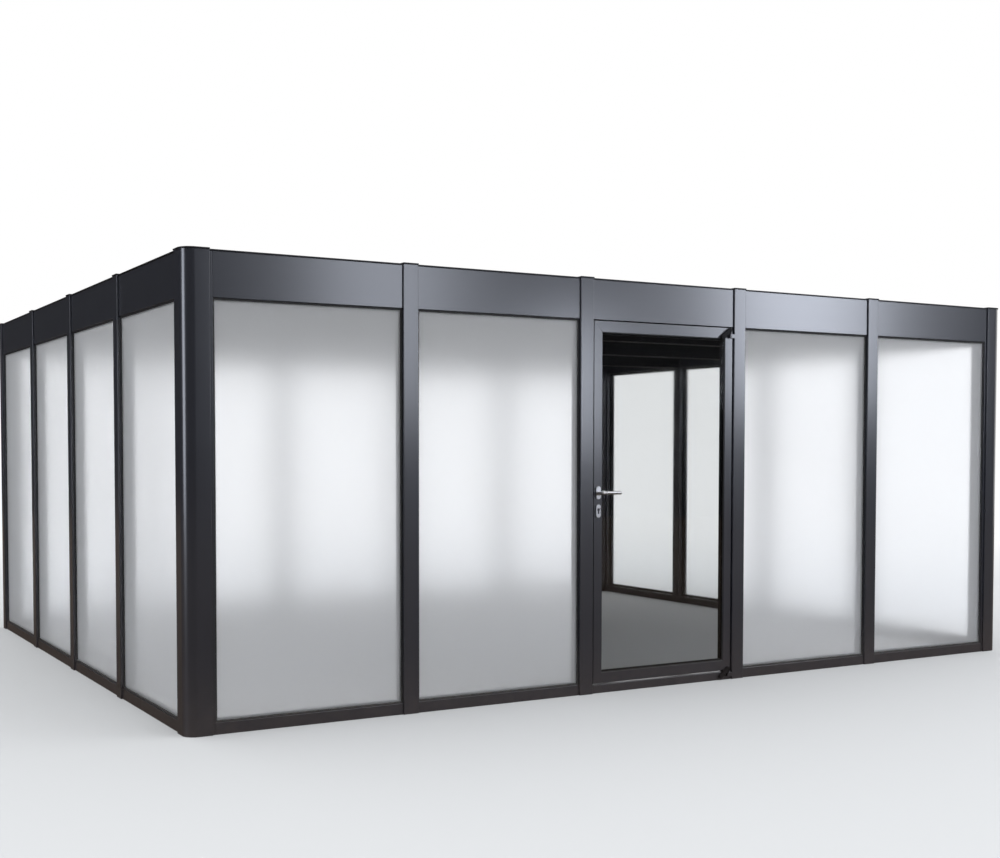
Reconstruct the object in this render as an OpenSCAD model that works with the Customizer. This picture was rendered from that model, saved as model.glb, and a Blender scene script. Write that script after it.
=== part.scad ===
// Glazed garden house: dark aluminium frame, frosted panes, flat roof and one clear hinged door.
// +Z is up, the ground is Z = 0 and the door wall faces -Y.
// The origin is the middle of the footprint's bounding box, outer door handle included.

/* [Plan] */
// Clear width of one bay between two posts
bay_w = 1040; // [800:10:1400]
// Bays along the front and the back
front_bays = 5; // [3:1:7]
// Bays along each side
side_bays = 4; // [2:1:6]
// Which front bay holds the door, counted from 0 at the left
door_bay = 2; // [0:1:2]

/* [Heights] */
// Height from the ground to the top of the post caps
total_h = 2400; // [2000:10:3000]
// Height of the fascia band, post caps included
fascia_h = 240; // [180:5:400]
// Height of the base rails
base_h = 60; // [40:2:120]
// Height of the door threshold
threshold_h = 50; // [30:2:100]

/* [Posts] */
// Face width of the posts between bays
post_w = 90; // [60:2:140]
// Depth of the posts and of the whole wall
post_d = 95; // [90:1:140]
// Rounding of the posts' outer edges
post_edge = 4; // [1:0.5:10]
// Length that a corner takes on each wall
corner_w = 155; // [120:1:240]
// Radius of the rounded outer corner
corner_r = 65; // [20:1:90]
// Width of the adapter strip beside a corner post
adapter_w = 16; // [8:1:24]

/* [Fascia and caps] */
// Set-back of fascia, rails and door leaf behind the post faces
face_set = 10; // [4:1:16]
// Thickness of the caps
cap_t = 8; // [4:1:15]
// Overhang of the caps beyond what they cover
cap_over = 4; // [1:0.5:6]
// How much higher the post caps lie than the fascia caps
cap_rise = 5; // [0:0.5:7]

/* [Glazing] */
// Thickness of a pane
glass_t = 8; // [4:1:12]
// Set-back of the panes behind the post faces
glass_set = 24; // [22:1:32]
// Play round a pane in its opening
glass_gap = 2; // [1:0.5:4]
// Sight width of the outer gasket
gasket_w = 10; // [5:1:16]
// Thickness of the outer gasket
gasket_t = 8; // [3:1:10]
// Sight width of the inner glazing bead
bead_w = 18; // [12:1:30]
// Depth of the inner glazing bead
bead_d = 25; // [10:1:40]

/* [Roof] */
// Thickness of the roof panels
roof_t = 60; // [40:5:100]
// Drop from the post caps to the roof surface
roof_drop = 25; // [20:1:40]
// Gap between two roof panels
seam_gap = 6; // [2:1:12]
// Width of the battens over the seams
batten_w = 60; // [30:5:100]
// Height of the battens
batten_h = 14; // [8:1:18]
// Width of the cross beams
beam_w = 80; // [50:5:90]
// Section of the ledgers that carry the panel edges
ledger_s = 30; // [15:5:50]

/* [Door leaf] */
// Thickness of the door leaf
leaf_t = 56; // [45:1:56]
// Face width of the stiles
stile_w = 55; // [50:1:90]
// Face height of the top rail
top_rail_h = 63; // [50:1:120]
// Face height of the bottom rail
bottom_rail_h = 60; // [50:1:200]
// Gap on the lock side
gap_lock = 10; // [8:0.5:14]
// Gap on the hinge side
gap_hinge = 8; // [7:0.5:14]
// Gap above the leaf
gap_head = 6; // [5.5:0.5:12]
// Gap below the leaf
gap_sill = 8; // [5.5:0.5:15]
// Thickness of the door stops
stop_w = 15; // [10:1:18]
// Clear space between the leaf and the stops
stop_gap = 10; // [9:0.5:12]
// Thickness of the seal on the stops
seal_t = 4; // [2:0.5:4]

/* [Hinges] */
// Distance from the pivot to the leaf's edge
pivot_in = 25; // [20:1:35]
// Distance from the pivot out to the leaf's face
pivot_out = 10; // [10:0.5:14]
// Width of the slanted hinge arm
arm_w = 24; // [20:1:30]
// Run of the arm along the leaf
arm_run = 58; // [45:1:80]
// Rise of the arm
arm_rise = 46; // [40:1:60]
// Thickness of the arm
arm_t = 11; // [8:1:12]
// Outer radius of the barrels
barrel_r = 9; // [7:0.5:9]
// Height of each barrel
barrel_h = 24; // [18:1:30]
// Radius of the pin
pin_r = 4; // [3:0.5:5]

/* [Handle and lock] */
// Height of the handle above the ground
handle_h = 1165; // [900:5:1250]
// Distance from the handle down to the key hole
key_drop = 106; // [85:1:130]
// Width of the roses
rose_w = 32; // [26:1:36]
// Height of the roses
rose_h = 76; // [50:1:90]
// Thickness of the roses
rose_t = 8; // [4:1:9]
// Length of the lever from its axis
lever_len = 125; // [90:1:140]
// Radius of the lever
lever_r = 10; // [7:0.5:11]
// Distance from the leaf's face to the lever's axis
lever_out = 55; // [40:1:70]
// Radius of the spindle
spindle_r = 5; // [4:0.5:6]

/* [Hidden] */
$fn = 48;

frame_col = [0.10, 0.11, 0.13];
dark_col = [0.03, 0.03, 0.035];
frost_col = [0.90, 0.93, 0.95];
clear_col = [0.75, 0.85, 0.88];
steel_col = [0.68, 0.68, 0.69];

// clearances
fit = 0.3;            // between a part and the seat that it only just doesn't touch
bore_play = 0.05;     // radial play of a pin or spindle in its bore
split = 1;            // space between pieces of one set that lie end to end

// plan
front_w = 2 * corner_w + front_bays * bay_w + (front_bays - 1) * post_w;
side_w = 2 * corner_w + side_bays * bay_w + (side_bays - 1) * post_w;
handle_reach = lever_out + lever_r - face_set;      // how far the outer lever stands in front of the posts
face_y = (handle_reach - cap_over - side_w) / 2;    // plane of the front posts' faces
corner_post_w = corner_w - adapter_w;

// heights
fascia_z = total_h - fascia_h;
cap_z = total_h - cap_rise - cap_t;                 // underside of the fascia caps
roof_z = total_h - roof_drop - roof_t;              // underside of the roof panels

// door leaf, in the front wall's coordinates
door_u = corner_w + door_bay * (bay_w + post_w);
leaf_u = door_u + gap_lock;
leaf_w = bay_w - gap_lock - gap_hinge;
leaf_z = threshold_h + gap_sill;
leaf_h = fascia_z - gap_head - leaf_z;
leaf_in = face_set + leaf_t;                        // inner face of the leaf
leaf_glass_set = face_set + 8;
leaf_gasket_t = 4;
leaf_gasket_w = 6;
leaf_bead_w = 12;
leaf_bead_d = 24;
stop_v = leaf_in + stop_gap;
pivot_u = leaf_u + leaf_w - pivot_in;
pivot_v = face_set - pivot_out;
arm_foot_v = pivot_v + 4;                           // back of the arm, clear of the threshold
arm_top_z = leaf_z + leaf_h - arm_w / 2 - 1;        // pivot end of the top arm
arm_low_z = leaf_z + 10;                            // pivot end of the bottom arm
handle_u = leaf_u + stile_w / 2;
lever_start = rose_t + fit;                         // distance from the leaf's face to the lever's neck

function bays(side) = side % 2 == 0 ? front_bays : side_bays;
function wall_w(side) = side % 2 == 0 ? front_w : side_w;
function bay_u(i) = corner_w + i * (bay_w + post_w);
function is_door(side, i) = side == 0 && i == door_bay;

// Wall coordinates: u runs along a wall from its left end as seen from outside, v runs inwards.
// Sides are counted 0 front, 1 right, 2 back, 3 left.
module on_side(side) {
    x = (side == 0 || side == 3) ? -front_w / 2 : front_w / 2;
    y = side < 2 ? face_y : face_y + side_w;
    translate([x, y, 0]) rotate(90 * side) children();
}

module block(u, v, z, w, d, h) {
    translate([u, v, z]) cube([w, d, h]);
}

// a flat shape drawn in u and z, given the depth d from v inwards
module plate(u, v, z, d) {
    translate([u, v + d, z]) rotate([90, 0, 0]) linear_extrude(d) children();
}

module rod_v(u, v, z, d, r) {
    translate([u, v + d, z]) rotate([90, 0, 0]) cylinder(h = d, r = r);
}

// upright oval plate, centred
module oval(w, h) {
    square([w, h - w], center = true);
    for (s = [-1, 1]) translate([0, s * (h - w) / 2]) circle(w / 2);
}

// walls

module post_shape() {
    translate([post_edge, 0]) square([post_w - 2 * post_edge, post_d]);
    translate([0, post_edge]) square([post_w, post_d - post_edge]);
    for (u = [post_edge, post_w - post_edge]) translate([u, post_edge]) circle(post_edge);
}

module corner_shape(grow) {
    w = corner_post_w + grow;
    r = corner_r + grow;
    translate([r - grow, -grow]) square([w - r, w]);
    translate([-grow, r - grow]) square([w, w - r]);
    translate([r - grow, r - grow]) circle(r);
}

module corner_posts() {
    color(frame_col) for (side = [0 : 3]) on_side(side) linear_extrude(total_h - cap_t) corner_shape(0);
}

module corner_adapters() {
    color(frame_col) for (side = [0 : 3]) on_side(side) {
        for (u = [corner_post_w, wall_w(side) - corner_w])
            block(u, face_set, 0, adapter_w, post_d - face_set, cap_z);
    }
}

module mullions(side) {
    color(frame_col) on_side(side) for (i = [1 : bays(side) - 1])
        translate([bay_u(i) - post_w, 0, 0]) linear_extrude(total_h - cap_t) post_shape();
}

module fascia(side) {
    color(frame_col) on_side(side) for (i = [0 : bays(side) - 1])
        block(bay_u(i), face_set, fascia_z, bay_w, post_d - face_set, cap_z - fascia_z);
}

module base_rails(side) {
    color(frame_col) on_side(side) for (i = [0 : bays(side) - 1])
        if (!is_door(side, i)) block(bay_u(i), face_set, 0, bay_w, post_d - face_set, base_h);
}

// glazing

module pane(u, v, z, w, h) {
    block(u + glass_gap, v, z + glass_gap, w - 2 * glass_gap, glass_t, h - 2 * glass_gap);
}

module ring(u, v, z, w, h, sight, d) {
    plate(u, v, z, d) difference() {
        square([w, h]);
        translate([sight, sight]) square([w - 2 * sight, h - 2 * sight]);
    }
}

module panes(side) {
    color(frost_col) on_side(side) for (i = [0 : bays(side) - 1])
        if (!is_door(side, i)) pane(bay_u(i), glass_set, base_h, bay_w, fascia_z - base_h);
}

module pane_gaskets() {
    color(dark_col) for (side = [0 : 3]) on_side(side) for (i = [0 : bays(side) - 1])
        if (!is_door(side, i))
            ring(bay_u(i), glass_set - gasket_t, base_h, bay_w, fascia_z - base_h, gasket_w, gasket_t);
}

module glazing_beads() {
    color(frame_col) for (side = [0 : 3]) on_side(side) for (i = [0 : bays(side) - 1])
        if (!is_door(side, i))
            ring(bay_u(i), glass_set + glass_t, base_h, bay_w, fascia_z - base_h, bead_w, bead_d);
}

// caps and roof

module fascia_caps() {
    color(dark_col) for (side = [0 : 3]) on_side(side) {
        last = bays(side) - 1;
        for (i = [0 : last]) {
            left = i == 0 ? adapter_w : 0;
            right = i == last ? adapter_w : 0;
            block(bay_u(i) - left, face_set - cap_over, cap_z,
                  bay_w + left + right, post_d - face_set + cap_over, cap_t);
        }
    }
}

module post_caps() {
    color(dark_col) for (side = [0 : 3]) on_side(side) {
        for (i = [1 : bays(side) - 1])
            block(bay_u(i) - post_w, -cap_over, total_h - cap_t, post_w, post_d + cap_over, cap_t);
        translate([0, 0, total_h - cap_t]) linear_extrude(cap_t) corner_shape(cap_over);
    }
}

// x of the joint line on the left of roof panel i
function seam_x(i) = i == 0 ? -front_w / 2 + post_d
    : i == front_bays ? front_w / 2 - post_d
    : -front_w / 2 + bay_u(i) - post_w / 2;

module roof_panels() {
    length = side_w - 2 * post_d;
    notch = corner_post_w - post_d + glass_gap;
    color(frame_col) difference() {
        for (i = [0 : front_bays - 1]) {
            left = seam_x(i) + (i == 0 ? 0 : seam_gap / 2);
            right = seam_x(i + 1) - (i == front_bays - 1 ? 0 : seam_gap / 2);
            block(left, face_y + post_d, roof_z, right - left, length, roof_t);
        }
        for (side = [0 : 3]) on_side(side)
            block(post_d - split, post_d - split, roof_z - split, notch + split, notch + split, roof_t + 2 * split);
    }
}

module roof_battens() {
    color(dark_col) for (i = [1 : front_bays - 1])
        block(seam_x(i) - batten_w / 2, face_y + post_d, roof_z + roof_t,
              batten_w, side_w - 2 * post_d, batten_h);
}

module roof_beams() {
    color(frame_col) for (i = [1 : side_bays - 1])
        block(-front_w / 2 + post_d, face_y + bay_u(i) - (post_w + beam_w) / 2, fascia_z,
              front_w - 2 * post_d, beam_w, roof_z - fascia_z);
}

module roof_ledgers() {
    color(frame_col) for (side = [0 : 3]) on_side(side) for (i = [0 : bays(side) - 1])
        block(bay_u(i), post_d, roof_z - ledger_s, bay_w, ledger_s, ledger_s);
}

// door frame

module door_threshold() {
    color(frame_col) on_side(0) block(door_u, face_set, 0, bay_w, post_d - face_set, threshold_h);
}

module door_stops() {
    color(frame_col) on_side(0) {
        d = post_d - stop_v;
        block(door_u, stop_v, fascia_z - stop_w, bay_w, d, stop_w);
        for (u = [door_u, door_u + bay_w - stop_w])
            block(u, stop_v, threshold_h, stop_w, d, fascia_z - stop_w - split - threshold_h);
    }
}

// soft strips on the head stop and on the lock side's stop
module door_seals() {
    color(dark_col) on_side(0) {
        v = stop_v - seal_t;
        block(door_u + stop_w, v, fascia_z - stop_w, bay_w - 2 * stop_w, seal_t, stop_w);
        block(door_u, v, threshold_h, stop_w, seal_t, fascia_z - stop_w - split - threshold_h);
    }
}

module strike_plate() {
    plate_t = 1.5;
    color(steel_col) on_side(0)
        block(door_u, face_set + 12, handle_h - key_drop - 60, plate_t, leaf_t - 24, key_drop + 120);
}

// hinges

// knuckle on the frame with its pin standing up into the arm's barrel
module hinge_bracket(z) {
    low = z - 2 * barrel_h - fit;
    translate([pivot_u, pivot_v, low]) cylinder(h = barrel_h, r = barrel_r);
    block(pivot_u, pivot_v - 6, low, door_u + bay_w - pivot_u, 14, barrel_h);
    translate([pivot_u, pivot_v, low]) cylinder(h = 2 * barrel_h + 6, r = pin_r);
}

module hinge_brackets() {
    color(frame_col) on_side(0) for (z = [arm_top_z, arm_low_z]) hinge_bracket(z);
}

// slanted pill; its straight part is a hair narrower than its round ends
module arm_shape() {
    reach = norm([arm_run, arm_rise]);
    bar_w = arm_w - 0.04;
    circle(arm_w / 2);
    translate([-arm_run, -arm_rise]) circle(arm_w / 2);
    rotate(atan2(arm_rise, arm_run)) translate([-reach, -bar_w / 2]) square([reach, bar_w]);
}

module hinge_arm(z) {
    foot_d = face_set - arm_foot_v;
    difference() {
        union() {
            plate(pivot_u, arm_foot_v - arm_t, z, arm_t) arm_shape();
            plate(pivot_u, arm_foot_v, z, foot_d) intersection() {
                arm_shape();
                translate([-2 * arm_run, leaf_z - z]) square([3 * arm_run, leaf_h]);
            }
            translate([pivot_u, pivot_v, z - barrel_h]) cylinder(h = barrel_h + 8, r = barrel_r);
        }
        translate([pivot_u, pivot_v, z - 2 * barrel_h]) cylinder(h = 4 * barrel_h, r = pin_r + bore_play);
    }
}

module hinge_arms() {
    color(dark_col) on_side(0) for (z = [arm_top_z, arm_low_z]) hinge_arm(z);
}

// door leaf

module door_hinge_stile() {
    color(frame_col) on_side(0) plate(leaf_u + leaf_w - stile_w, face_set, leaf_z, leaf_t)
        polygon([[0, bottom_rail_h], [stile_w, 0], [stile_w, leaf_h], [0, leaf_h - top_rail_h]]);
}

module door_lock_stile() {
    color(frame_col) on_side(0) plate(leaf_u, face_set, leaf_z, leaf_t) difference() {
        polygon([[0, 0], [stile_w, bottom_rail_h], [stile_w, leaf_h - top_rail_h], [0, leaf_h]]);
        translate([stile_w / 2, handle_h - leaf_z]) circle(spindle_r + 3);
    }
}

module door_top_rail() {
    color(frame_col) on_side(0) plate(leaf_u, face_set, leaf_z + leaf_h - top_rail_h, leaf_t)
        polygon([[0, top_rail_h], [stile_w, 0], [leaf_w - stile_w, 0], [leaf_w, top_rail_h]]);
}

module door_bottom_rail() {
    color(frame_col) on_side(0) plate(leaf_u, face_set, leaf_z, leaf_t)
        polygon([[0, 0], [leaf_w, 0], [leaf_w - stile_w, bottom_rail_h], [stile_w, bottom_rail_h]]);
}

// places a piece of glazing in the leaf's clear opening
leaf_open_w = leaf_w - 2 * stile_w;
leaf_open_h = leaf_h - top_rail_h - bottom_rail_h;
leaf_open_u = leaf_u + stile_w;
leaf_open_z = leaf_z + bottom_rail_h;

module door_pane() {
    color(clear_col) on_side(0) pane(leaf_open_u, leaf_glass_set, leaf_open_z, leaf_open_w, leaf_open_h);
}

module door_gasket() {
    color(dark_col) on_side(0)
        ring(leaf_open_u, leaf_glass_set - leaf_gasket_t, leaf_open_z, leaf_open_w, leaf_open_h,
             leaf_gasket_w, leaf_gasket_t);
}

module door_bead() {
    color(frame_col) on_side(0)
        ring(leaf_open_u, leaf_glass_set + glass_t, leaf_open_z, leaf_open_w, leaf_open_h,
             leaf_bead_w, leaf_bead_d);
}

// handle and lock

module handle_roses() {
    color(steel_col) on_side(0) for (v = [face_set - rose_t, leaf_in])
        plate(handle_u, v, handle_h, rose_t) difference() {
            oval(rose_w, rose_h);
            circle(spindle_r + bore_play);
        }
}

// outline of a profile lock: a round head over a narrower body
module lock_shape(play) {
    circle(8.5 + play);
    translate([-5 - play, -24 - play]) square([10 + 2 * play, 24]);
}

module key_escutcheons() {
    color(steel_col) on_side(0) for (v = [face_set - rose_t, leaf_in])
        plate(handle_u, v, handle_h - key_drop, rose_t) difference() {
            oval(rose_w, rose_h);
            translate([0, 8]) lock_shape(fit);
        }
}

module lock_cylinders() {
    proud = 1;
    slot_d = 4;
    color(steel_col) on_side(0) for (out = [true, false]) difference() {
        plate(handle_u, out ? face_set - rose_t - proud : leaf_in, handle_h - key_drop + 8, rose_t + proud)
            lock_shape(0);
        block(handle_u - 1, out ? face_set - rose_t - proud - slot_d : leaf_in + rose_t + proud - slot_d,
              handle_h - key_drop + 3.5, 2, 2 * slot_d, 9);
    }
}

// one lever: neck square to the leaf, round elbow and a bar towards the hinges
module lever(v, d) {
    neck = lever_out - lever_start;
    translate([handle_u, v, handle_h]) rotate([d > 0 ? -90 : 90, 0, 0]) translate([0, 0, lever_start])
        cylinder(h = neck, r = lever_r - 1);
    translate([handle_u, v + d * lever_out, handle_h]) {
        sphere(lever_r);
        rotate([0, 90, 0]) cylinder(h = lever_len, r = lever_r);
    }
}

module outer_lever() {
    color(steel_col) on_side(0) lever(face_set, -1);
}

module inner_lever() {
    color(steel_col) on_side(0) lever(leaf_in, 1);
}

module lever_spindle() {
    color(steel_col) on_side(0)
        rod_v(handle_u, face_set - lever_start, handle_h, leaf_t + 2 * lever_start, spindle_r);
}

corner_posts();
corner_adapters();
mullions(0);  // front_mullions
mullions(1);  // right_mullions
mullions(2);  // back_mullions
mullions(3);  // left_mullions
fascia(0);  // front_fascia
fascia(1);  // right_fascia
fascia(2);  // back_fascia
fascia(3);  // left_fascia
base_rails(0);  // front_base_rails
base_rails(1);  // right_base_rails
base_rails(2);  // back_base_rails
base_rails(3);  // left_base_rails
panes(0);  // front_panes
panes(1);  // right_panes
panes(2);  // back_panes
panes(3);  // left_panes
pane_gaskets();
glazing_beads();
fascia_caps();
post_caps();
roof_panels();
roof_battens();
roof_beams();
roof_ledgers();
door_threshold();
door_stops();
door_seals();
strike_plate();
hinge_brackets();
door_hinge_stile();
door_lock_stile();
door_top_rail();
door_bottom_rail();
door_pane();
door_gasket();
door_bead();
hinge_arms();
handle_roses();
key_escutcheons();
lock_cylinders();
outer_lever();
inner_lever();
lever_spindle();
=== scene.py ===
import math

import bmesh
import bpy
from mathutils import Matrix, Vector


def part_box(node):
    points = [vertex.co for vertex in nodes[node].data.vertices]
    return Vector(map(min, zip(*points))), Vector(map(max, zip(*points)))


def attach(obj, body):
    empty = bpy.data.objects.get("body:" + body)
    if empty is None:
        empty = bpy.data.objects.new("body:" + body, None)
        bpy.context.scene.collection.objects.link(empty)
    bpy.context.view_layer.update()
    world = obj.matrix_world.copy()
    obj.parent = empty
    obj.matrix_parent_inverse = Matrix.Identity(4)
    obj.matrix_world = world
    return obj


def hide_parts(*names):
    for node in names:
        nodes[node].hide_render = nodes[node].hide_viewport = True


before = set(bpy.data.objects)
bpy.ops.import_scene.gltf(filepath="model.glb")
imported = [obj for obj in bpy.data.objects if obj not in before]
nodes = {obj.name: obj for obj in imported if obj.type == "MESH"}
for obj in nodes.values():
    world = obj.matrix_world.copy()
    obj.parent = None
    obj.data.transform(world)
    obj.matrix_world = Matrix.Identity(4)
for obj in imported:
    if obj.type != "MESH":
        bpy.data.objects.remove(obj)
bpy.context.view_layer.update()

scene = bpy.context.scene


# small helpers for node trees and meshes

def makeNode(tree, kind, values=None, **settings):
    made = tree.nodes.new(kind)
    for name, value in settings.items():
        setattr(made, name, value)
    for name, value in (values or {}).items():
        made.inputs[name].default_value = value
    return made


def makeGroup(name, inputs, outputs):
    tree = bpy.data.node_groups.new(name, "ShaderNodeTree")
    for label, kind, value in inputs:
        socket = tree.interface.new_socket(label, in_out="INPUT", socket_type=kind)
        socket.default_value = value
    for label, kind in outputs:
        tree.interface.new_socket(label, in_out="OUTPUT", socket_type=kind)
    return tree, tree.nodes.new("NodeGroupInput"), tree.nodes.new("NodeGroupOutput")


def placeGroup(tree, group, **values):
    made = tree.nodes.new("ShaderNodeGroup")
    made.node_tree = group
    for name, value in values.items():
        made.inputs[name].default_value = value
    return made


def mathNode(tree, operation, first, second, clamp=False):
    made = makeNode(tree, "ShaderNodeMath", operation=operation, use_clamp=clamp)
    for slot, value in enumerate((first, second)):
        if isinstance(value, (int, float)):
            made.inputs[slot].default_value = value
        else:
            tree.links.new(value, made.inputs[slot])
    return made.outputs[0]


def mixColour(tree, factor, first, second, blend="MIX"):
    made = makeNode(tree, "ShaderNodeMix", data_type="RGBA", blend_type=blend)
    for slot, value in ((0, factor), (6, first), (7, second)):
        if isinstance(value, (int, float)):
            made.inputs[slot].default_value = value
        elif isinstance(value, tuple):
            made.inputs[slot].default_value = (*value, 1.0)
        else:
            tree.links.new(value, made.inputs[slot])
    return made.outputs[2]


def remap(tree, value, low, high, toLow, toHigh):
    made = makeNode(tree, "ShaderNodeMapRange",
                    {"From Min": low, "From Max": high, "To Min": toLow, "To Max": toHigh})
    tree.links.new(value, made.inputs["Value"])
    return made.outputs["Result"]


def newMaterial(name):
    material = bpy.data.materials.new(name)
    material.use_nodes = True
    tree = material.node_tree
    return material, tree, tree.nodes["Principled BSDF"]


def linkBump(tree, shader, height, distance):
    bump = makeNode(tree, "ShaderNodeBump", {"Strength": 1.0, "Distance": distance})
    tree.links.new(height, bump.inputs["Height"])
    tree.links.new(bump.outputs["Normal"], shader.inputs["Normal"])


# powder coat: fine orange peel as Height, slow cloudy difference in shade as Tone
powderCoat, given, result = makeGroup(
    "powderCoat",
    [("Grain Scale", "NodeSocketFloat", 900.0), ("Cloud Scale", "NodeSocketFloat", 1.6)],
    [("Height", "NodeSocketFloat"), ("Tone", "NodeSocketFloat")])
where = makeNode(powderCoat, "ShaderNodeTexCoord")
grain = makeNode(powderCoat, "ShaderNodeTexNoise", {"Detail": 2.0, "Roughness": 0.5})
cloud = makeNode(powderCoat, "ShaderNodeTexNoise", {"Detail": 5.0, "Roughness": 0.6})
for texture, scaleName in ((grain, "Grain Scale"), (cloud, "Cloud Scale")):
    powderCoat.links.new(where.outputs["Object"], texture.inputs["Vector"])
    powderCoat.links.new(given.outputs[scaleName], texture.inputs["Scale"])
powderCoat.links.new(grain.outputs["Fac"], result.inputs["Height"])
powderCoat.links.new(cloud.outputs["Fac"], result.inputs["Tone"])

# dust and splashed soil that thins out with height above the ground; on the frame paint the dark brown it mixes in is
# also a painted reflection of the soil
dustAndSoilReflection, given, result = makeGroup(
    "dustAndSoilReflection",
    [("Reach", "NodeSocketFloat", 0.5), ("Amount", "NodeSocketFloat", 0.5)],
    [("Mask", "NodeSocketFloat")])
where = makeNode(dustAndSoilReflection, "ShaderNodeTexCoord")
split = makeNode(dustAndSoilReflection, "ShaderNodeSeparateXYZ")
dustAndSoilReflection.links.new(where.outputs["Object"], split.inputs[0])
specks = makeNode(dustAndSoilReflection, "ShaderNodeTexNoise", {"Scale": 14.0, "Detail": 6.0, "Roughness": 0.7})
dustAndSoilReflection.links.new(where.outputs["Object"], specks.inputs["Vector"])
height = mathNode(dustAndSoilReflection, "DIVIDE", split.outputs["Z"], given.outputs["Reach"])
low = mathNode(dustAndSoilReflection, "SUBTRACT", 1.0, height, clamp=True)
low = mathNode(dustAndSoilReflection, "POWER", low, 1.7)
patchy = remap(dustAndSoilReflection, specks.outputs["Fac"], 0.3, 0.7, 0.45, 1.0)
dustAndReflectionMask = mathNode(dustAndSoilReflection, "MULTIPLY", low, patchy)
dustAndReflectionMask = mathNode(dustAndSoilReflection, "MULTIPLY", dustAndReflectionMask, given.outputs["Amount"], clamp=True)
dustAndSoilReflection.links.new(dustAndReflectionMask, result.inputs["Mask"])

# brushed metal: long fine lines along one axis, set by the three scales
brushLines, given, result = makeGroup(
    "brushLines",
    [("Stretch", "NodeSocketVector", (20.0, 900.0, 900.0))],
    [("Height", "NodeSocketFloat"), ("Tone", "NodeSocketFloat")])
where = makeNode(brushLines, "ShaderNodeTexCoord")
stretched = makeNode(brushLines, "ShaderNodeVectorMath", operation="MULTIPLY")
brushLines.links.new(where.outputs["Object"], stretched.inputs[0])
brushLines.links.new(given.outputs["Stretch"], stretched.inputs[1])
lines = makeNode(brushLines, "ShaderNodeTexNoise", {"Scale": 1.0, "Detail": 3.0, "Roughness": 0.6})
smears = makeNode(brushLines, "ShaderNodeTexNoise", {"Scale": 45.0, "Detail": 3.0})
brushLines.links.new(stretched.outputs[0], lines.inputs["Vector"])
brushLines.links.new(where.outputs["Object"], smears.inputs["Vector"])
brushLines.links.new(lines.outputs["Fac"], result.inputs["Height"])
brushLines.links.new(smears.outputs["Fac"], result.inputs["Tone"])
print("shared effects built")


def coatedMetal(name, look):
    material, tree, shader = newMaterial(name)
    coat = placeGroup(tree, powderCoat, **{"Grain Scale": look["grainScale"]})
    dustAndReflection = placeGroup(tree, dustAndSoilReflection, Reach=look["dustAndReflectionReach"], Amount=look["dustAndReflectionAmount"])
    shade = remap(tree, coat.outputs["Tone"], 0.3, 0.7, 0.92, 1.08)
    paint = mixColour(tree, 1.0, look["colour"], shade, "MULTIPLY")
    # towards the ground the paint turns dark brown: part dust, part painted reflection of the soil
    paint = mixColour(tree, dustAndReflection.outputs["Mask"], paint, look["dustAndReflectionColour"])
    tree.links.new(paint, shader.inputs["Base Color"])
    rough = remap(tree, coat.outputs["Tone"], 0.3, 0.7, look["roughness"] - 0.015, look["roughness"] + 0.02)
    dull = mathNode(tree, "MULTIPLY", dustAndReflection.outputs["Mask"], 0.35)
    rough = mathNode(tree, "ADD", rough, dull, clamp=True)
    tree.links.new(rough, shader.inputs["Roughness"])
    shader.inputs["Metallic"].default_value = look["metallic"]
    shader.inputs["Specular IOR Level"].default_value = look["specular"]
    shader.inputs["Coat Weight"].default_value = look["coat"]
    shader.inputs["Coat Roughness"].default_value = look["coatRoughness"]
    shader.inputs["Coat IOR"].default_value = look["coatIor"]
    linkBump(tree, shader, coat.outputs["Height"], look["grainDepth"])
    return material


# the dark brown dust colour of the frame near the ground is partly a painted reflection of the soil
framePaint = {
    "colour": (0.009, 0.010, 0.015), "roughness": 0.30, "metallic": 0.0, "specular": 0.5,
    "coat": 1.0, "coatRoughness": 0.20, "coatIor": 1.7, "grainScale": 900.0, "grainDepth": 0.000003,
    "dustAndReflectionReach": 0.5, "dustAndReflectionAmount": 0.3, "dustAndReflectionColour": (0.075, 0.052, 0.040),
}
capPaint = dict(framePaint, colour=(0.005, 0.005, 0.007), roughness=0.4, specular=0.3, coat=0.0, dustAndReflectionAmount=0.0)
armPaint = dict(framePaint, colour=(0.004, 0.004, 0.005), roughness=0.45, specular=0.12, coat=0.0,
                grainDepth=0.000005, dustAndReflectionAmount=0.15)
# painted shade: parts inside the house get a copy of the frame paint at a third of its colour, with less gloss and no
# coat, so the inside reads as shaded
shadedInnerPaint = dict(framePaint, colour=(0.003, 0.003, 0.004), roughness=0.5, specular=0.2, coat=0.0, dustAndReflectionAmount=0.2)
roofPaint = dict(framePaint, colour=(0.040, 0.042, 0.046), roughness=0.55, specular=0.4, coat=0.0,
                 grainScale=300.0, dustAndReflectionAmount=0.0)
anthracite = coatedMetal("anthraciteCoat", framePaint)
capBlack = coatedMetal("blackCapCoat", capPaint)
armBlack = coatedMetal("blackArmCoat", armPaint)
shadedInnerAnthracite = coatedMetal("shadedInnerAnthraciteCoat", shadedInnerPaint)


def roofCoat(name, look):
    # coated sheet with rain streaks running to the front and back edges
    material = coatedMetal(name, look)
    tree = material.node_tree
    shader = tree.nodes["Principled BSDF"]
    paint = shader.inputs["Base Color"].links[0].from_socket
    rough = shader.inputs["Roughness"].links[0].from_socket
    streaks = placeGroup(tree, brushLines, Stretch=(16.0, 0.8, 6.0))
    stain = remap(tree, streaks.outputs["Height"], 0.45, 0.75, 0.0, 0.35)
    tree.links.new(mixColour(tree, stain, paint, (0.10, 0.098, 0.088)), shader.inputs["Base Color"])
    tree.links.new(mathNode(tree, "ADD", rough, stain, clamp=True), shader.inputs["Roughness"])
    return material


roofSheet = roofCoat("roofSheetCoat", roofPaint)


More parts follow.
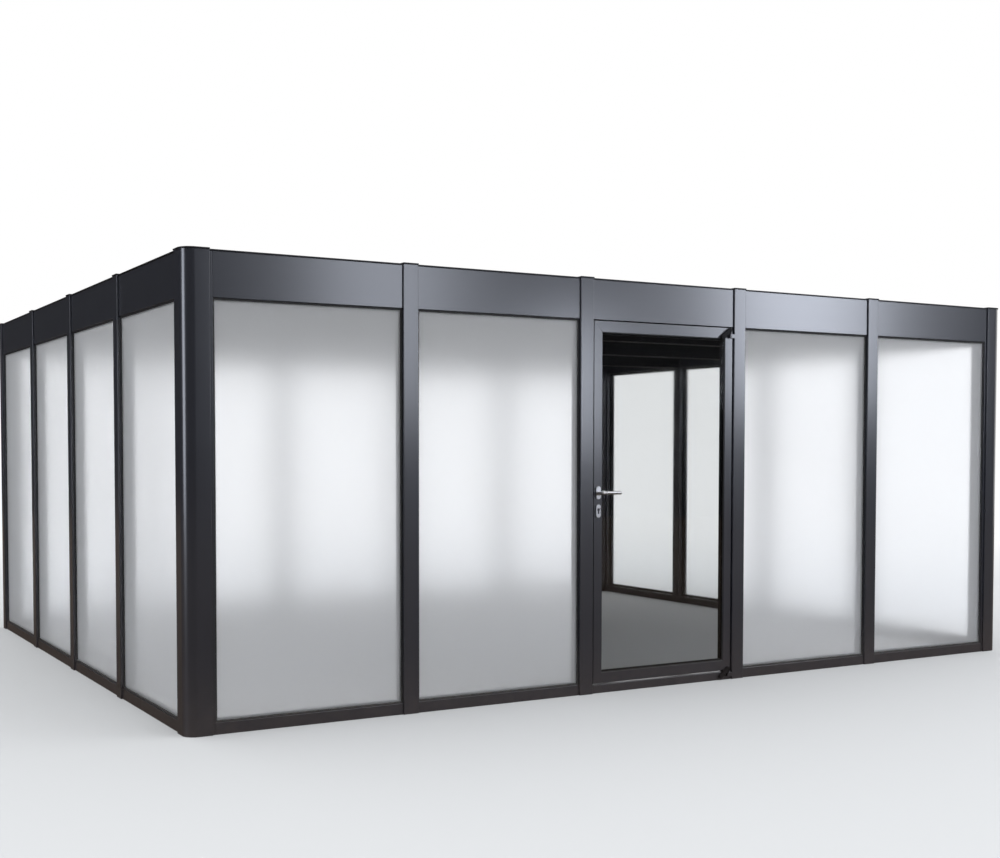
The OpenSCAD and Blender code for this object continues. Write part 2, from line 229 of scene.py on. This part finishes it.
def frostedGlass(name, look):
    material, tree, shader = newMaterial(name)
    frost = placeGroup(tree, powderCoat, **{"Grain Scale": look["grainScale"], "Cloud Scale": look["cloudScale"]})
    dustAndReflection = placeGroup(tree, dustAndSoilReflection, Reach=look["dustAndReflectionReach"], Amount=look["dustAndReflectionAmount"])
    shade = remap(tree, frost.outputs["Tone"], 0.3, 0.7, 0.975, 1.0)
    milk = mixColour(tree, 1.0, look["colour"], shade, "MULTIPLY")
    milk = mixColour(tree, dustAndReflection.outputs["Mask"], milk, look["dustAndReflectionColour"])
    tree.links.new(milk, shader.inputs["Base Color"])
    rough = remap(tree, frost.outputs["Tone"], 0.3, 0.7, look["roughness"] - 0.02, look["roughness"] + 0.03)
    tree.links.new(rough, shader.inputs["Roughness"])
    shader.inputs["Transmission Weight"].default_value = look["transmission"]
    shader.inputs["IOR"].default_value = look["ior"]
    linkBump(tree, shader, frost.outputs["Height"], look["grainDepth"])
    return material


frostLook = {
    "colour": (0.985, 0.99, 1.0), "roughness": 0.7, "transmission": 0.87, "ior": 1.04,
    "grainScale": 500.0, "cloudScale": 0.9, "grainDepth": 0.00001,
    "dustAndReflectionReach": 0.35, "dustAndReflectionAmount": 0.25, "dustAndReflectionColour": (0.55, 0.52, 0.47),
}
frosted = frostedGlass("frostedPane", frostLook)
clearLook = dict(frostLook, colour=(0.95, 0.97, 0.965), roughness=0.02, transmission=1.0, ior=1.45,
                 grainDepth=0.0, dustAndReflectionAmount=0.1)
clear = frostedGlass("clearPane", clearLook)


def rubberSeal(name, look):
    material, tree, shader = newMaterial(name)
    grainy = placeGroup(tree, powderCoat, **{"Grain Scale": look["grainScale"]})
    dustAndReflection = placeGroup(tree, dustAndSoilReflection, Reach=look["dustAndReflectionReach"], Amount=look["dustAndReflectionAmount"])
    shade = remap(tree, grainy.outputs["Tone"], 0.3, 0.7, 0.8, 1.25)
    rubber = mixColour(tree, 1.0, look["colour"], shade, "MULTIPLY")
    rubber = mixColour(tree, dustAndReflection.outputs["Mask"], rubber, look["dustAndReflectionColour"])
    tree.links.new(rubber, shader.inputs["Base Color"])
    rough = remap(tree, grainy.outputs["Tone"], 0.3, 0.7, look["roughness"] - 0.06, look["roughness"] + 0.06)
    tree.links.new(rough, shader.inputs["Roughness"])
    linkBump(tree, shader, grainy.outputs["Height"], look["grainDepth"])
    return material


sealLook = {"colour": (0.010, 0.010, 0.011), "roughness": 0.68, "grainScale": 1500.0, "grainDepth": 0.000005,
            "dustAndReflectionReach": 0.4, "dustAndReflectionAmount": 0.4, "dustAndReflectionColour": (0.09, 0.075, 0.06)}
rubber = rubberSeal("blackSealRubber", sealLook)


def brushedSteel(name, look):
    material, tree, shader = newMaterial(name)
    brush = placeGroup(tree, brushLines, Stretch=look["stretch"])
    shade = remap(tree, brush.outputs["Height"], 0.3, 0.7, 0.88, 1.06)
    steel = mixColour(tree, 1.0, look["colour"], shade, "MULTIPLY")
    tree.links.new(steel, shader.inputs["Base Color"])
    rough = remap(tree, brush.outputs["Tone"], 0.3, 0.7, look["roughness"] - 0.05, look["roughness"] + 0.07)
    tree.links.new(rough, shader.inputs["Roughness"])
    shader.inputs["Metallic"].default_value = 1.0
    linkBump(tree, shader, brush.outputs["Height"], look["lineDepth"])
    return material


leverLook = {"colour": (0.66, 0.66, 0.67), "roughness": 0.30, "stretch": (30.0, 1500.0, 1500.0), "lineDepth": 0.00002}
plateLook = dict(leverLook, stretch=(1500.0, 1500.0, 30.0))
cylinderLook = dict(plateLook, colour=(0.09, 0.09, 0.095))  # darker key face
leverSteel = brushedSteel("leverSteel", leverLook)
cylinderSteel = brushedSteel("cylinderSteel", cylinderLook)
plateSteel = brushedSteel("plateSteel", plateLook)
# painted shade: near-black finish for blocks that stand in for the shaded inside of holes
holeShadeBlack = rubberSeal("holeShadeBlack", dict(sealLook, colour=(0.004, 0.004, 0.004), dustAndReflectionAmount=0.0))
print("finishes built")


def addPiece(bm, name, body, material, replaced=(), smoothAngle=48.0):
    mesh = bpy.data.meshes.new(name)
    bm.to_mesh(mesh)
    bm.free()
    mesh.shade_smooth()
    mesh.set_sharp_from_angle(angle=math.radians(smoothAngle))
    mesh.materials.append(material)
    piece = bpy.data.objects.new(name, mesh)
    scene.collection.objects.link(piece)
    weighted = piece.modifiers.new("evenShading", "WEIGHTED_NORMAL")
    weighted.keep_sharp = True
    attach(piece, body)
    if replaced:
        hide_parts(*replaced)
    return piece


def mergedCopy(*names):
    # CAD nodes joined in one bmesh, loose triangles merged and flat faces made whole
    bm = bmesh.new()
    for name in names:
        bm.from_mesh(nodes[name].data)
    bmesh.ops.remove_doubles(bm, verts=bm.verts, dist=0.00002)
    bmesh.ops.dissolve_limit(bm, angle_limit=math.radians(0.5), verts=bm.verts, edges=bm.edges)
    return bm


def bevelEdges(bm, width, segments, least=28.0, wanted=None):
    sharp = [e for e in bm.edges if e.is_manifold and e.calc_face_angle(0.0) > math.radians(least)
             and (wanted is None or wanted(e))]
    bmesh.ops.bevel(bm, geom=sharp, offset=width, offset_type="OFFSET", affect="EDGES", segments=segments,
                    profile=0.5, clamp_overlap=True, material=-1)


def easedNode(node, body, material, width=0.002, segments=2):
    # the CAD piece with its sharp edges eased, as extruded and coated profiles have
    bm = mergedCopy(node)
    bevelEdges(bm, width, segments)
    return addPiece(bm, node + "_eased", body, material, (node,))


def addBlock(bm, low, high):
    centre = (Vector(low) + Vector(high)) / 2
    size = Vector(high) - Vector(low)
    made = bmesh.ops.create_cube(bm, size=1.0)["verts"]
    bmesh.ops.transform(bm, matrix=Matrix.Translation(centre) @ Matrix.Diagonal((*size, 1.0)), verts=made)


def addScrew(bm, place, outward, look):
    # round head with a round socket, standing out along its axis
    turn = Matrix.Translation(place) @ outward
    radius, high = look["radius"], look["high"]
    head = bmesh.ops.create_cone(bm, cap_ends=True, segments=24, radius1=radius, radius2=radius * look["taper"],
                                 depth=high, matrix=turn @ Matrix.Translation((0.0, 0.0, high / 2)))["verts"]
    top = max((f for v in head for f in v.link_faces if len(f.verts) > 4),
              key=lambda f: (turn.inverted() @ f.calc_center_median()).z)
    bmesh.ops.inset_individual(bm, faces=[top], thickness=radius * look["rim"])
    bmesh.ops.translate(bm, verts=list(top.verts), vec=turn.to_3x3() @ Vector((0.0, 0.0, -look["socket"])))


easedWidths = {  # node: (edge rounding, finish)
    "corner_posts": (0.0020, anthracite), "corner_adapters": (0.0012, anthracite),
    "front_mullions": (0.0015, anthracite), "right_mullions": (0.0015, anthracite),
    "back_mullions": (0.0015, anthracite), "left_mullions": (0.0015, anthracite),
    "front_fascia": (0.0020, anthracite), "right_fascia": (0.0020, anthracite),
    "back_fascia": (0.0020, anthracite), "left_fascia": (0.0020, anthracite),
    "front_base_rails": (0.0020, anthracite), "right_base_rails": (0.0020, anthracite),
    "back_base_rails": (0.0020, anthracite), "left_base_rails": (0.0020, anthracite),
    "roof_beams": (0.0030, shadedInnerAnthracite), "roof_ledgers": (0.0020, shadedInnerAnthracite),
    "door_threshold": (0.0025, anthracite), "door_stops": (0.0015, shadedInnerAnthracite),
    "hinge_brackets": (0.0010, anthracite),
}
for node, (width, finish) in easedWidths.items():
    easedNode(node, "house", finish, width)
for node in ("fascia_caps", "post_caps"):
    easedNode(node, "house", capBlack, 0.0015)
easedNode("roof_panels", "house", roofSheet, 0.003)
easedNode("roof_battens", "house", roofSheet, 0.003)
for node in ("front_panes", "right_panes", "back_panes", "left_panes"):
    easedNode(node, "house", frosted, 0.0010, 1)
easedNode("pane_gaskets", "house", rubber, 0.0020)
easedNode("glazing_beads", "house", shadedInnerAnthracite, 0.0030)
easedNode("door_seals", "house", rubber, 0.0010)
easedNode("strike_plate", "house", plateSteel, 0.0004)
for node in ("door_hinge_stile", "door_lock_stile", "door_top_rail", "door_bottom_rail"):
    easedNode(node, "door", anthracite, 0.0008)
easedNode("door_pane", "door", clear, 0.0010, 1)
easedNode("door_gasket", "door", rubber, 0.0010)
easedNode("door_bead", "door", shadedInnerAnthracite, 0.0030)
easedNode("hinge_arms", "door", armBlack, 0.0015)
easedNode("handle_roses", "door", plateSteel, 0.0020, 3)
easedNode("key_escutcheons", "door", plateSteel, 0.0015, 3)
easedNode("lock_cylinders", "door", cylinderSteel, 0.0003)
easedNode("outer_lever", "handle", leverSteel, 0.0030, 3)
easedNode("inner_lever", "handle", leverSteel, 0.0030, 3)
nodes["lever_spindle"].data.materials.clear()
nodes["lever_spindle"].data.materials.append(plateSteel)

# raised ribs that stiffen the roof sheets, between the battens
ribs = {"wide": 0.034, "high": 0.009, "sunk": 0.002, "every": 0.27, "clear": 0.10, "edge": 0.003}
(roofX0, roofY0, _), (roofX1, roofY1, roofTop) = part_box("roof_panels")
battenXs = sorted({round(v.co.x, 3) for v in nodes["roof_battens"].data.vertices})
seams = [(a + b) / 2 for a, b in zip(battenXs[::2], battenXs[1::2])]
bays = list(zip([roofX0] + seams, seams + [roofX1]))
bm = bmesh.new()
for left, right in bays:
    count = int((right - left - 2 * ribs["clear"]) / ribs["every"]) + 1
    first = (left + right) / 2 - (count - 1) * ribs["every"] / 2
    for step in range(count):
        x = first + step * ribs["every"]
        addBlock(bm, (x - ribs["wide"] / 2, roofY0 + ribs["clear"], roofTop - ribs["sunk"]),
                 (x + ribs["wide"] / 2, roofY1 - ribs["clear"], roofTop + ribs["high"]))
bevelEdges(bm, ribs["edge"], 2)
addPiece(bm, "roofRibs", "house", roofSheet)

# two screws in the foot of each slanted hinge arm, on the line that runs down and in from its pivot
faceOut = Matrix.Rotation(math.radians(90.0), 4, "X")
armScrew = {"radius": 0.0055, "high": 0.0022, "socket": 0.0018, "taper": 0.86, "rim": 0.42, "seat": 0.0002}
armLow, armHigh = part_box("hinge_arms")
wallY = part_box("front_mullions")[0][1]
arms = {"plateOut": 0.007, "round": 0.012, "run": 0.058, "rise": 0.046, "shares": (1.0, 0.52)}
screwY = wallY - arms["plateOut"] + armScrew["seat"]
pivotX = armHigh[0] - arms["round"]
bm = bmesh.new()
for pivotZ in (armHigh[2] - arms["round"], armLow[2] + arms["round"] + arms["rise"]):
    for share in arms["shares"]:
        addScrew(bm, (pivotX - arms["run"] * share, screwY, pivotZ - arms["rise"] * share), faceOut, armScrew)
addPiece(bm, "hingeArmScrews", "door", armBlack)

# lock case: face plate on the edge of the lock stile, with latch and bolt (stand out, depth, height)
lockCase = {"proud": 0.0012, "sunk": 0.001, "wide": 0.020, "above": 0.085, "below": 0.165, "edge": 0.0005,
            "latch": (0.0030, 0.012, 0.024), "bolt": (0.0012, 0.010, 0.034), "screwIn": 0.012}
plateScrew = dict(armScrew, radius=0.0036, high=0.0010, socket=0.0008, seat=0.0004)
edgeOut = Matrix.Rotation(math.radians(-90.0), 4, "Y")
leverZ = sum(corner[2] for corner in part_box("outer_lever")) / 2
keyZ = sum(corner[2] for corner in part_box("key_escutcheons")) / 2
stileLow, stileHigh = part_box("door_lock_stile")
leafY = (stileLow[1] + stileHigh[1]) / 2
plateX = stileLow[0] - lockCase["proud"]
plateLow, plateTop = leverZ - lockCase["below"], leverZ + lockCase["above"]
bm = bmesh.new()
addBlock(bm, (plateX, leafY - lockCase["wide"] / 2, plateLow),
         (stileLow[0] + lockCase["sunk"], leafY + lockCase["wide"] / 2, plateTop))
for height, (out, deep, tall) in ((leverZ, lockCase["latch"]), (keyZ, lockCase["bolt"])):
    addBlock(bm, (plateX - out, leafY - deep / 2, height - tall / 2),
             (stileLow[0], leafY + deep / 2, height + tall / 2))
bevelEdges(bm, lockCase["edge"], 2)
addPiece(bm, "lockFacePlate", "door", plateSteel)
bm = bmesh.new()
for height in (plateTop - lockCase["screwIn"], plateLow + lockCase["screwIn"]):
    addScrew(bm, (plateX + plateScrew["seat"], leafY, height), edgeOut, plateScrew)
addPiece(bm, "lockPlateScrews", "door", plateSteel)

# near-black blocks set in the strike plate as painted shade for its openings for latch and bolt (depth, height)
openings = {"latch": (0.014, 0.030), "bolt": (0.012, 0.040), "sunk": 0.0005, "proud": 0.0002, "edge": 0.0001}
strikeLow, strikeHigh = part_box("strike_plate")
strikeY = (strikeLow[1] + strikeHigh[1]) / 2
bm = bmesh.new()
for height, (deep, tall) in ((leverZ, openings["latch"]), (keyZ, openings["bolt"])):
    addBlock(bm, (strikeHigh[0] - openings["sunk"], strikeY - deep / 2, height - tall / 2),
             (strikeHigh[0] + openings["proud"], strikeY + deep / 2, height + tall / 2))
bevelEdges(bm, openings["edge"], 1)
addPiece(bm, "strikeOpeningShade", "house", holeShadeBlack)
print("pieces built")


view = {"place": (-4.936, -8.687, 1.416), "tilt": -2.243, "turn": -29.55, "lens": 48.2, "sensor": 36.0,
        "shift": (0.0306, 0.0727), "reach": 200.0}
camera = bpy.data.objects.new("camera", bpy.data.cameras.new("camera"))
camera.data.lens = view["lens"]
camera.data.sensor_width = view["sensor"]
camera.data.shift_x, camera.data.shift_y = view["shift"]
camera.data.clip_end = view["reach"]
camera.location = view["place"]
camera.rotation_euler = (math.radians(90.0 + view["tilt"]), 0.0, math.radians(view["turn"]))
scene.collection.objects.link(camera)
scene.camera = camera


def softbox(name, place, target, size, power, tint):
    data = bpy.data.lights.new(name, "AREA")
    data.shape = "RECTANGLE"
    data.size, data.size_y = size
    data.energy = power
    data.color = tint
    lamp = bpy.data.objects.new(name, data)
    lamp.location = place
    lamp.rotation_euler = (Vector(target) - Vector(place)).to_track_quat("-Z", "Y").to_euler()
    lamp.visible_camera = False
    scene.collection.objects.link(lamp)
    return lamp


# The front wall mirrors the camera to this point behind it. A lamp at an angle from there shows in the wall
# at the same angle to the right of straight ahead, and the tent keeps the rest of the paint dark.
mirrorPoint = Vector((view["place"][0], 2.0 * wallY - view["place"][1], 0.0))
panelTint = (0.83, 0.88, 1.0)


def panelAt(name, degrees, far, low, high, wide, radiance):
    turn = math.radians(degrees)
    middle = mirrorPoint + Vector((math.sin(turn), -math.cos(turn), 0.0)) * far
    middle.z = (low + high) / 2
    power = radiance * math.pi * wide * (high - low)
    return softbox(name, middle, (mirrorPoint.x, mirrorPoint.y, middle.z), (wide, high - low), power, panelTint)


panels = {  # name: degrees, distance, lower and upper edge, width, radiance
    "rightPanel": (43.3, 19.0, 2.0, 7.0, 1.9, 8.0),
    "doorPanel": (33.8, 19.0, 1.5, 3.2, 0.5, 17.0),
    "middlePanel": (25.9, 18.0, 1.9, 7.0, 1.6, 4.8),
    "leftPanel": (-66.0, 14.0, 0.5, 6.0, 7.0, 4.0),
}
for name, values in panels.items():
    panelAt(name, *values)


def onlyReflected(name, mesh, colour):
    # a card that shows in gloss, while light straight through glass passes it
    finish, tree, shader = newMaterial(name + "Cloth")
    shader.inputs["Base Color"].default_value = (*colour, 1.0)
    shader.inputs["Roughness"].default_value = 1.0
    shader.inputs["Specular IOR Level"].default_value = 0.0
    path = makeNode(tree, "ShaderNodeLightPath")
    nothing = makeNode(tree, "ShaderNodeBsdfTransparent")
    either = makeNode(tree, "ShaderNodeMixShader")
    unturned = mathNode(tree, "LESS_THAN", path.outputs["Glossy Depth"], 0.5)
    passing = mathNode(tree, "MULTIPLY", path.outputs["Is Transmission Ray"], unturned)
    tree.links.new(passing, either.inputs[0])
    tree.links.new(shader.outputs[0], either.inputs[1])
    tree.links.new(nothing.outputs[0], either.inputs[2])
    tree.links.new(either.outputs[0], tree.nodes["Material Output"].inputs["Surface"])
    mesh.materials.append(finish)
    card = bpy.data.objects.new(name, mesh)
    scene.collection.objects.link(card)
    card.visible_camera = card.visible_diffuse = card.visible_shadow = False


# dark tent around the front and left, so that the paint stays dark between the lamps
tent = {"first": -175.0, "last": 62.0, "radius": 22.0, "height": 12.0, "steps": 48, "colour": (0.02, 0.02, 0.022)}
first = math.radians(tent["first"])
bm = bmesh.new()
foot = Vector((math.sin(first), -math.cos(first), 0.0)) * tent["radius"]
edge = bm.edges.new((bm.verts.new(foot), bm.verts.new(foot + Vector((0.0, 0.0, tent["height"])))))
bmesh.ops.spin(bm, geom=[*edge.verts, edge], cent=(0.0, 0.0, 0.0), axis=(0.0, 0.0, 1.0),
               angle=math.radians(tent["last"]) - first, steps=tent["steps"])
tentMesh = bpy.data.meshes.new("darkTent")
bm.to_mesh(tentMesh)
bm.free()
onlyReflected("darkTent", tentMesh, tent["colour"])

# lawn tone that only the gloss of the frame picks up
lawn = {"radius": 22.0, "height": 0.002, "colour": (0.060, 0.046, 0.036)}
bm = bmesh.new()
bmesh.ops.create_circle(bm, cap_ends=True, segments=64, radius=lawn["radius"],
                        matrix=Matrix.Translation((0.0, 0.0, lawn["height"])))
lawnMesh = bpy.data.meshes.new("lawnTone")
bm.to_mesh(lawnMesh)
bm.free()
onlyReflected("lawnTone", lawnMesh, lawn["colour"])

# plain pale floor that fades to the white of the background
floorLook = {"half": 60.0, "colour": (0.42, 0.42, 0.42), "fadeFrom": 7.0, "fadeTo": 13.0}
bm = bmesh.new()
bmesh.ops.create_grid(bm, x_segments=1, y_segments=1, size=floorLook["half"])
floorData = bpy.data.meshes.new("floor")
bm.to_mesh(floorData)
bm.free()
floor = bpy.data.objects.new("floor", floorData)
scene.collection.objects.link(floor)
floorFinish, tree, shader = newMaterial("paleFloor")
shader.inputs["Roughness"].default_value = 0.9
shader.inputs["Specular IOR Level"].default_value = 0.0
shader.inputs["Base Color"].default_value = (*floorLook["colour"], 1.0)
where = makeNode(tree, "ShaderNodeTexCoord")
reach = makeNode(tree, "ShaderNodeVectorMath", operation="LENGTH")
tree.links.new(where.outputs["Object"], reach.inputs[0])
fade = remap(tree, reach.outputs["Value"], floorLook["fadeFrom"], floorLook["fadeTo"], 0.0, 1.0)
white = makeNode(tree, "ShaderNodeEmission", {"Strength": 1.0})
blended = makeNode(tree, "ShaderNodeMixShader")
tree.links.new(fade, blended.inputs[0])
tree.links.new(shader.outputs[0], blended.inputs[1])
tree.links.new(white.outputs[0], blended.inputs[2])
tree.links.new(blended.outputs[0], tree.nodes["Material Output"].inputs["Surface"])
floorData.materials.append(floorFinish)

world = bpy.data.worlds.new("studio")
world.use_nodes = True
scene.world = world
tree = world.node_tree
sky = tree.nodes["Background"]  # lights matt faces only
sky.inputs["Color"].default_value = (0.96, 0.98, 1.0, 1.0)
sky.inputs["Strength"].default_value = 2.0
backdrop = makeNode(tree, "ShaderNodeBackground", {"Color": (1.0, 1.0, 1.0, 1.0), "Strength": 1.0})
path = makeNode(tree, "ShaderNodeLightPath")
seen = mathNode(tree, "ADD", path.outputs["Is Camera Ray"], path.outputs["Is Glossy Ray"], clamp=True)
seen = mathNode(tree, "ADD", seen, path.outputs["Is Transmission Ray"], clamp=True)
blended = makeNode(tree, "ShaderNodeMixShader")
tree.links.new(seen, blended.inputs[0])
tree.links.new(sky.outputs[0], blended.inputs[1])
tree.links.new(backdrop.outputs[0], blended.inputs[2])
tree.links.new(blended.outputs[0], tree.nodes["World Output"].inputs["Surface"])
scene.view_settings.view_transform = "Standard"
print("camera, light and floor placed")
